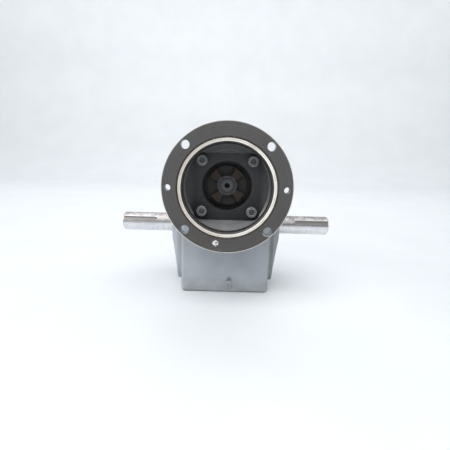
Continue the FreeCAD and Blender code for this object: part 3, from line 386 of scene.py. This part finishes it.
class Flange(Graph):
    """Dark machined face, bright ring, bare iron inside the bell, enamel on the cast outside."""

    def __init__(self):
        super().__init__("flange_iron")
        self.x, y, z = self.coordinates()
        self.height, self.radius = self.about(self.x, z, INPUT_Z)
        self.depth = self.math("SUBTRACT", y, FLANGE_Y)
        self.aside = self.math("ABSOLUTE", self.x)
        line = self.add("ShaderNodeCombineXYZ", X=self.radius, Y=RINGS_SEED, Z=0.0).outputs["Vector"]
        self.rings = self.noise(1.0 / RINGS_PITCH, 2.0, 0.7, line)
        self.smudge = self.noise(38.0, 6.0, 0.65)
        self.specks = self.noise(420.0, 5.0, 0.7)

    def near(self, x, z):
        """Distance on the face from a point at x and a height."""
        return self.distance(self.math("SUBTRACT", self.x, x), self.math("SUBTRACT", self.height, z))

    def face(self):
        """Dark turned iron, rusty low down, with painted shade round the ring, and bare at the rim with a
        painted highlight low down.
        """
        tone = self.blend(self.span(self.rings, 0.3, 0.7), (0.088, 0.086, 0.086), (0.116, 0.113, 0.112))
        tone = self.blend(self.span(self.smudge, 0.42, 0.72, 0.0, 0.5), tone, (0.080, 0.070, 0.062))
        tone = self.blend(self.span(self.specks, 0.66, 0.76, 0.0, 0.5), tone, (0.17, 0.16, 0.155))
        rust = self.product(self.span(self.height, 0.02, -0.085),
                            self.span(self.noise(70.0, 7.0, 0.7), 0.44, 0.68), 0.45)
        tone = self.blend(rust, tone, (0.125, 0.088, 0.062))
        # darker towards the bottom, evenly
        tone = self.blend(self.span(self.height, 0.02, -0.08, 0.0, 0.35), tone, (0.062, 0.059, 0.056))
        # painted shade: dark line just outside the ring, where its step is
        ring_edge_shade = self.product(self.band(self.radius, RING_R - 0.0005, RING_R + 0.0005, 0.0008), 0.85)
        tone = self.blend(ring_edge_shade, tone, (0.045, 0.032, 0.022))
        # bare rim, with a painted highlight growing towards the bottom
        bare_and_lit = self.blend(self.span(self.height, -0.02, -0.06), (0.30, 0.29, 0.28), (0.50, 0.48, 0.45))
        rim = self.product(self.span(self.radius, RIM_R - 0.0008, RIM_R),
                           self.span(self.specks, 0.35, 0.60, 0.2, 0.9))
        return self.marks(self.blend(rim, tone, bare_and_lit))

    def marks(self, tone):
        """A ring-shaped chip, a rubbed arc at one bolt hole and some nicks near the bottom."""
        wander = self.span(self.noise(330.0, 3.0), 0.3, 0.7, -0.0013, 0.0013)
        chip = self.band(self.math("ADD", self.near(CHIP_X, CHIP_Z), wander), *CHIP_RING, 0.0004)
        tone = self.blend(chip, tone, (0.80, 0.78, 0.75))
        rubbed = self.product(self.band(self.near(LOW_BOLT_X, LOW_BOLT_Z), *LOW_BOLT_RING, 0.0003),
                              self.span(self.height, LOW_BOLT_Z - 0.0005, LOW_BOLT_Z - 0.0040),
                              self.span(self.specks, 0.30, 0.55, 0.35, 1.0))
        tone = self.blend(rubbed, tone, (0.56, 0.54, 0.51))
        nicks = self.product(self.band(self.x, *NICKS_X, 0.002),
                             self.band(self.height, *NICKS_Z, 0.001),
                             self.span(self.noise(700.0, 4.0, 0.7), 0.58, 0.66))
        return self.blend(nicks, tone, (0.60, 0.58, 0.55))

    def ring(self):
        """Bright turned ring with painted shade towards the left and along its outer edge, and a fine
        scratch.
        """
        tone = self.blend(self.span(self.rings, 0.25, 0.75), (0.93, 0.885, 0.81), (0.99, 0.96, 0.90))
        tone = self.blend(self.span(self.noise(55.0, 5.0), 0.50, 0.72, 0.0, 0.5), tone, (0.44, 0.36, 0.27))
        # painted shade: the ring darker towards the left
        tone = self.blend(self.span(self.x, 0.045, -0.045, 0.0, 0.62), tone, (0.55, 0.49, 0.41))
        # painted shade along the ring's outer edge
        outline = self.band(self.radius, RING_R - 0.0013, RING_R + 0.0015, 0.0003)
        tone = self.blend(outline, tone, (0.045, 0.034, 0.025))
        scratch = self.product(self.band(self.radius, SCRATCH_R, SCRATCH_R + 0.0003, 0.0004),
                               self.span(self.smudge, 0.35, 0.60, 0.2, 0.8))
        return self.blend(scratch, tone, (0.42, 0.38, 0.32))

    def pilot_wall(self):
        """Dull wall of the pilot, with painted shade at both of its ends."""
        tone = self.blend(self.span(self.rings, 0.3, 0.7), (0.105, 0.100, 0.096), (0.175, 0.168, 0.160))
        # painted shade in the corners at both ends of the wall
        near_end = self.span(self.depth, 0.0027, 0.0023)
        far_end = self.span(self.depth, 0.0064, 0.0070)
        return self.blend(self.math("MAXIMUM", near_end, far_end), tone, (0.022, 0.020, 0.019))

    def hollow(self):
        """1 inside the bell's tapered hollow, 0 on its outside."""
        taper = self.math("SUBTRACT", self.depth, BELL_FROM)
        top = self.math("ADD", self.height, self.math("MULTIPLY", taper, BELL_TOP_SLOPE))
        bottom = self.math("SUBTRACT", self.math("MULTIPLY", taper, -BELL_BOTTOM_SLOPE), self.height)
        return self.product(self.span(top, BELL_TOP + 0.0006, BELL_TOP),
                            self.span(bottom, BELL_BOTTOM + 0.0002, BELL_BOTTOM),
                            self.span(self.aside, BELL_SIDE + 0.0010, BELL_SIDE),
                            self.span(self.radius, BELL_R + 0.0015, BELL_R))

    def hollow_walls(self):
        """Bare iron, with painted shade at the top, painted light at the sides and the bottom, and a painted
        highlight at the lower right.
        """
        # painted light and shade: dark at the top, paler at the bottom and the sides
        upward = self.span(self.height, -0.046, 0.022)
        tone = self.blend(upward, (0.25, 0.255, 0.26), (0.085, 0.085, 0.086))
        sides = self.blend(upward, (0.28, 0.285, 0.29), (0.20, 0.203, 0.207))
        tone = self.blend(self.span(self.aside, 0.030, 0.050), tone, sides)
        # painted highlight at the lower right
        lit = self.product(self.span(self.x, *LIT_X), self.span(self.height, *LIT_Z))
        tone = self.blend(lit, tone, (0.52, 0.52, 0.52))
        tone = self.blend(self.product(self.span(self.rings, 0.45, 0.62), 0.35), tone, (0.42, 0.42, 0.42))
        return self.blend(self.span(self.noise(60.0, 5.0), 0.40, 0.70, 0.0, 0.35), tone, (0.13, 0.125, 0.12))

    def hollow_floor(self):
        """Nearly black plate at the end of the hollow, with painted shade towards the bottom and painted
        light towards its sides.
        """
        # painted shade: darker towards the bottom
        upward = self.span(self.height, 0.040, -0.040)
        tone = self.blend(upward, (0.046, 0.047, 0.050), (0.015, 0.015, 0.017))
        tone = self.blend(self.span(self.smudge, 0.45, 0.70, 0.0, 0.25), tone, (0.050, 0.049, 0.050))
        # painted light: paler towards the sides
        return self.blend(self.span(self.aside, 0.043, 0.054), tone, (0.095, 0.096, 0.098))

    def wear_and_highlight(self, tone):
        """Rubbed edges, and the bare chamfer round the face with a painted highlight that grows towards the
        bottom.
        """
        edges = self.product(self.worn_edges(0.0009), self.span(self.noise(300.0, 5.0), 0.50, 0.62), 0.5)
        tone = self.blend(edges, tone, (0.42, 0.38, 0.33))
        # painted highlight on the bare chamfer, growing towards the bottom
        corner = self.product(self.span(self.radius, CORNER_R, CORNER_R + 0.0003),
                              self.span(self.depth, 0.0013, 0.0009),
                              self.span(self.height, 0.0, -0.04, 0.25, 1.0),
                              self.span(self.specks, 0.30, 0.50, 0.5, 1.0))
        return self.blend(corner, tone, (0.80, 0.76, 0.69))

    def finished(self):
        """Puts each tone on its own surfaces."""
        on_face = self.span(self.depth, 0.0006, 0.0003)
        on_ring = self.product(self.span(self.radius, RING_R + 0.0001, RING_R - 0.0001),
                               self.span(self.depth, 0.0012, 0.0009))
        on_wall = self.product(self.span(self.radius, PILOT_WALL_R, PILOT_WALL_R - 0.0005),
                               self.span(self.depth, 0.0084, 0.0080))
        hollow = self.hollow()
        past_pilot = self.product(hollow, self.span(self.depth, BELL_FROM + 0.0003, BELL_FROM + 0.0010))
        on_floor = self.product(hollow, self.span(self.depth, BELL_FLOOR - 0.0010, BELL_FLOOR))

        tone, roughness, layers = cast_paint(self)
        tone = self.blend(past_pilot, tone, self.hollow_walls())
        tone = self.blend(on_floor, tone, self.hollow_floor())
        tone = self.blend(on_face, tone, self.face())
        tone = self.blend(on_wall, tone, self.pilot_wall())
        tone = self.blend(on_ring, tone, self.ring())
        tone = self.wear_and_highlight(tone)

        roughness = self.blend(on_face, roughness, self.span(self.smudge, 0.3, 0.7, 0.40, 0.54))
        roughness = self.blend(on_wall, roughness, (0.36, 0.36, 0.36))
        roughness = self.blend(on_ring, roughness, (0.42, 0.42, 0.42))
        metallic = self.math("MAXIMUM", self.product(on_ring, 0.10), self.product(on_face, 0.30))
        machined = self.math("MAXIMUM", on_face, self.math("MAXIMUM", on_ring, on_wall))
        self.bump(layers + [(self.product(self.rings, machined), 0.00004)], 0.0005)
        return self.surface(tone, roughness, metallic)


# Shafts, coupling, screws and the rest

SHAFT_R = 0.0142875
CHAMFER = 0.0010                # at the ends of the shaft
KEYWAY_INNER_X = 0.1078         # where the keyways on both sides start
KEYWAY_HALF = 0.003175          # half of a keyway's width
KEYWAY_TURN = math.radians(30.0)                                # up from the front
KEYWAY_EDGE = KEYWAY_TURN + math.asin(KEYWAY_HALF / SHAFT_R)    # angle of its upper edge
STUB_END = 0.0120               # of the worm shaft, behind the front of the hub
CENTRE_DRILL_R = 0.0036
BOSS_R = 0.0140


def steel(name, dark, pale, rough_low, rough_high, stain=None, stain_amount=0.0, stretch=(1.0, 1.0, 1.0)):
    """Machined steel or another bright metal, with smudges and an optional stain."""
    graph = Graph(name)
    lines = graph.noise(900.0, 3.0, 0.6, graph.stretched(stretch))
    smudge = graph.noise(60.0, 6.0, 0.65)
    tone = graph.blend(graph.span(lines, 0.3, 0.7), dark, pale)
    if stain:
        spread = graph.span(graph.noise(85.0, 8.0, 0.7), 0.45, 0.68, 0.0, stain_amount)
        tone = graph.blend(spread, tone, stain)
    roughness = graph.span(smudge, 0.3, 0.7, rough_low, rough_high)
    graph.bump([(lines, 0.00002), (smudge, 0.00003)])
    return graph.surface(tone, roughness, 1.0)


def shaft_steel():
    """Ground shaft: fine turning lines, brown storage stain along the top, painted shade on the keyway
    floors and painted highlights on their upper edges and walls.
    """
    graph = Graph("shaft_steel")
    lines = graph.noise(1500.0, 3.0, 0.7, graph.stretched((1.0, 0.03, 0.03)))
    blotch = graph.noise(110.0, 8.0, 0.74)
    fleck = graph.noise(420.0, 5.0, 0.7)
    smear_and_shadow = graph.noise(30.0, 6.0, 0.65, graph.stretched((0.5, 2.0, 2.0)))
    x, y, z = graph.coordinates()
    height, radius = graph.about(y, z, OUTPUT_Z)

    upper = graph.span(height, 0.0005, 0.0040)
    stain = graph.product(upper, graph.span(blotch, 0.34, 0.60, 0.45, 1.0))
    tone = graph.blend(graph.span(lines, 0.3, 0.7), (0.67, 0.675, 0.69), (0.81, 0.815, 0.83))
    tone = graph.blend(graph.span(smear_and_shadow, 0.45, 0.75, 0.0, 0.35), tone, (0.44, 0.435, 0.44))
    brown = graph.blend(graph.span(x, -0.05, 0.05), (0.255, 0.225, 0.212), (0.175, 0.153, 0.143))
    tone = graph.blend(graph.product(stain, 0.85), tone, brown)
    flecks = graph.product(upper, graph.span(fleck, 0.58, 0.70, 0.0, 0.6))
    tone = graph.blend(flecks, tone, (0.56, 0.53, 0.51))

    along = graph.math("ABSOLUTE", x)
    beside_keyway = graph.product(graph.span(along, KEYWAY_INNER_X - 0.001, KEYWAY_INNER_X + 0.001),
                                  graph.span(along, SHAFT_END_X - CHAMFER, SHAFT_END_X - CHAMFER - 0.0003))
    turn = graph.math("ARCTAN2", height, graph.product(y, -1.0))
    # painted highlight along the upper edge of each keyway
    edge = graph.product(beside_keyway, graph.band(turn, KEYWAY_EDGE + 0.0073, KEYWAY_EDGE + 0.0323, 0.02))
    in_keyway = graph.product(beside_keyway, graph.span(radius, SHAFT_R - 0.0003, SHAFT_R - 0.0006))
    across = graph.math("ADD", graph.product(y, math.sin(KEYWAY_TURN)),
                        graph.product(height, math.cos(KEYWAY_TURN)))
    upper_wall = graph.product(in_keyway, graph.span(across, KEYWAY_HALF - 0.000275, KEYWAY_HALF - 0.000075))
    tone = graph.blend(graph.product(edge, 0.8), tone, (0.93, 0.91, 0.89))
    # painted shade on the keyway floors
    tone = graph.blend(in_keyway, tone, graph.blend(blotch, (0.15, 0.143, 0.143), (0.27, 0.255, 0.25)))
    # painted highlight on the upper wall of each keyway, which is left non-metallic
    tone = graph.blend(upper_wall, tone, (0.93, 0.91, 0.89))

    roughness = graph.math("ADD", graph.span(smear_and_shadow, 0.3, 0.7, 0.24, 0.34), graph.product(stain, 0.22))
    graph.bump([(lines, 0.00002), (blotch, 0.00003)], 0.0003)
    return graph.surface(tone, roughness, graph.math("SUBTRACT", 1.0, upper_wall))


def worm_steel():
    """Dull grey ground steel, darker and drier on the stub end than on the thread, with painted shade in its
    centre drill.
    """
    graph = Graph("worm_steel")
    x, y, z = graph.coordinates()
    _, radius = graph.about(x, z, INPUT_Z)
    grit = graph.noise(1100.0, 4.0, 0.6)
    smudge = graph.noise(150.0, 6.0, 0.65)
    stub = graph.span(y, HUB_Y + STUB_END + 0.004, HUB_Y + STUB_END)
    thread = graph.blend(graph.span(grit, 0.3, 0.7), (0.42, 0.42, 0.43), (0.56, 0.56, 0.57))
    end = graph.blend(graph.span(grit, 0.35, 0.65), (0.052, 0.052, 0.055), (0.078, 0.078, 0.082))
    end = graph.blend(graph.band(radius, 0.0042, 0.0062, 0.0006), end, (0.094, 0.094, 0.098))
    end = graph.blend(graph.span(smudge, 0.50, 0.70, 0.0, 0.5), end, (0.044, 0.043, 0.043))
    # painted shade: near black in the centre drill
    drilled = graph.span(radius, CENTRE_DRILL_R, CENTRE_DRILL_R - 0.0008)
    end = graph.blend(drilled, end, (0.008, 0.008, 0.008))
    tone = graph.blend(stub, thread, end)
    roughness = graph.math("ADD", graph.span(smudge, 0.3, 0.7, 0.26, 0.36), graph.product(stub, 0.22))
    graph.bump([(grit, 0.00003)], 0.0003)
    return graph.surface(tone, roughness, graph.span(stub, 0.0, 1.0, 1.0, 0.15))


def screw_steel():
    """Black oxide screw with light edges and painted shade in its socket."""
    graph = Graph("screw_steel")
    grit = graph.noise(900.0, 4.0, 0.6)
    mottle = graph.noise(260.0, 5.0, 0.6)
    tone = graph.blend(graph.span(grit, 0.35, 0.65), (0.135, 0.140, 0.145), (0.205, 0.212, 0.217))
    edge = graph.product(graph.worn_edges(0.0014), graph.span(mottle, 0.30, 0.55, 0.6, 1.0))
    tone = graph.blend(edge, tone, (0.88, 0.90, 0.91))
    # painted shade: near black in the socket and other hollows
    tone = graph.blend(graph.span(graph.open_sky(0.004), 0.30, 0.62), (0.010, 0.010, 0.011), tone)
    graph.bump([(grit, 0.00003)], 0.0003)
    return graph.surface(tone, graph.span(mottle, 0.3, 0.7, 0.34, 0.50), 0.6)


def coupling_steel():
    """Rusty jaws around a plain grey boss, with painted shade in the corners."""
    graph = Graph("coupling_steel")
    x, y, z = graph.coordinates()
    _, radius = graph.about(x, z, INPUT_Z)
    bloom = graph.noise(130.0, 8.0, 0.72)
    grit = graph.noise(1100.0, 4.0, 0.6)
    jaw = graph.blend(graph.span(grit, 0.35, 0.65), (0.034, 0.027, 0.022), (0.050, 0.039, 0.031))
    jaw = graph.blend(graph.span(bloom, 0.46, 0.66, 0.0, 0.75), jaw, (0.050, 0.033, 0.023))
    deep = graph.span(graph.math("SUBTRACT", y, HUB_Y), 0.0015, 0.0040)
    jaw = graph.blend(deep, jaw, graph.blend(bloom, (0.030, 0.028, 0.026), (0.056, 0.051, 0.048)))
    boss = graph.blend(graph.span(grit, 0.35, 0.65), (0.056, 0.056, 0.059), (0.086, 0.086, 0.090))
    tone = graph.blend(graph.span(radius, BOSS_R, BOSS_R - 0.0003), jaw, boss)
    # painted shade in the corners
    tone = graph.blend(graph.corner_shade(0.003, 0.5), tone, (0.012, 0.011, 0.010))
    graph.bump([(bloom, 0.00010), (grit, 0.00004)])
    return graph.surface(tone, graph.span(bloom, 0.3, 0.7, 0.42, 0.64), 0.1, 0.2)


def rusty_iron(name, base, rust, amount):
    """Bare iron, rougher and less metallic where the rust blooms."""
    graph = Graph(name)
    bloom = graph.noise(130.0, 8.0, 0.72)
    grit = graph.noise(1100.0, 4.0, 0.6)
    tone = graph.blend(graph.span(grit, 0.35, 0.65), base, shade(base, 1.35))
    tone = graph.blend(graph.span(bloom, 0.38, 0.62, 0.0, amount), tone, rust)
    roughness = graph.span(bloom, 0.3, 0.7, 0.34, 0.62)
    metallic = graph.span(bloom, 0.38, 0.62, 0.9, 0.35)
    graph.bump([(bloom, 0.00010), (grit, 0.00004)])
    return graph.surface(tone, roughness, metallic)


def soft_material(name, dark, pale, rough, scale):
    """Rubber, fibre and the like: mottled, matte, finely grained."""
    graph = Graph(name)
    grain = graph.noise(scale, 5.0, 0.65)
    cloud = graph.noise(scale * 0.08, 5.0, 0.6)
    tone = graph.blend(graph.span(grain, 0.35, 0.65), dark, pale)
    tone = graph.blend(graph.span(cloud, 0.45, 0.75, 0.0, 0.4), tone, shade(pale, 1.5))
    graph.bump([(grain, 0.00005)])
    return graph.surface(tone, graph.span(cloud, 0.3, 0.7, rough - 0.08, rough + 0.08))


def make_materials():
    """One material for each material slot of the record."""
    return {
        "housing_paint": housing_paint(),
        "flange_iron": Flange().finished(),
        "gasket": soft_material("gasket", (0.020, 0.018, 0.016), (0.045, 0.040, 0.035), 0.75, 700.0),
        "screw_steel": screw_steel(),
        "plug_steel": steel("plug_steel", (0.16, 0.16, 0.17), (0.26, 0.26, 0.27), 0.36, 0.50),
        "vent_brass": steel("vent_brass", (0.52, 0.38, 0.16), (0.66, 0.50, 0.24), 0.26, 0.42,
                            (0.22, 0.15, 0.08), 0.5),
        "seal_rubber": soft_material("seal_rubber", (0.010, 0.010, 0.011), (0.022, 0.022, 0.024),
                                     0.55, 900.0),
        "spring_steel": steel("spring_steel", (0.10, 0.11, 0.14), (0.18, 0.19, 0.22), 0.28, 0.40),
        "shaft_steel": shaft_steel(),
        "worm_steel": worm_steel(),
        "coupling_steel": coupling_steel(),
        "gear_bronze": steel("gear_bronze", (0.46, 0.27, 0.10), (0.62, 0.39, 0.17), 0.24, 0.36,
                             (0.20, 0.12, 0.06), 0.35, (1.0, 0.2, 0.2)),
        "gear_hub_iron": rusty_iron("gear_hub_iron", (0.12, 0.12, 0.125), (0.10, 0.07, 0.05), 0.25),
        "bearing_steel": steel("bearing_steel", (0.58, 0.58, 0.60), (0.70, 0.70, 0.72), 0.10, 0.18),
        "cage_brass": steel("cage_brass", (0.56, 0.42, 0.18), (0.70, 0.54, 0.26), 0.24, 0.34),
    }


def paint_frame(materials):
    """Gives every CAD node the material that its slot names."""
    for part in frame["record"]["subparts"]:
        mesh = NODES[part["node"]].data
        mesh.materials.clear()
        mesh.materials.append(materials[part["material_slot"]])


bpy.context.scene.view_settings.view_transform = "Standard"
add_camera()
add_room()
for light in LIGHTS:
    add_light(*light)
add_stage()
paint_frame(make_materials())
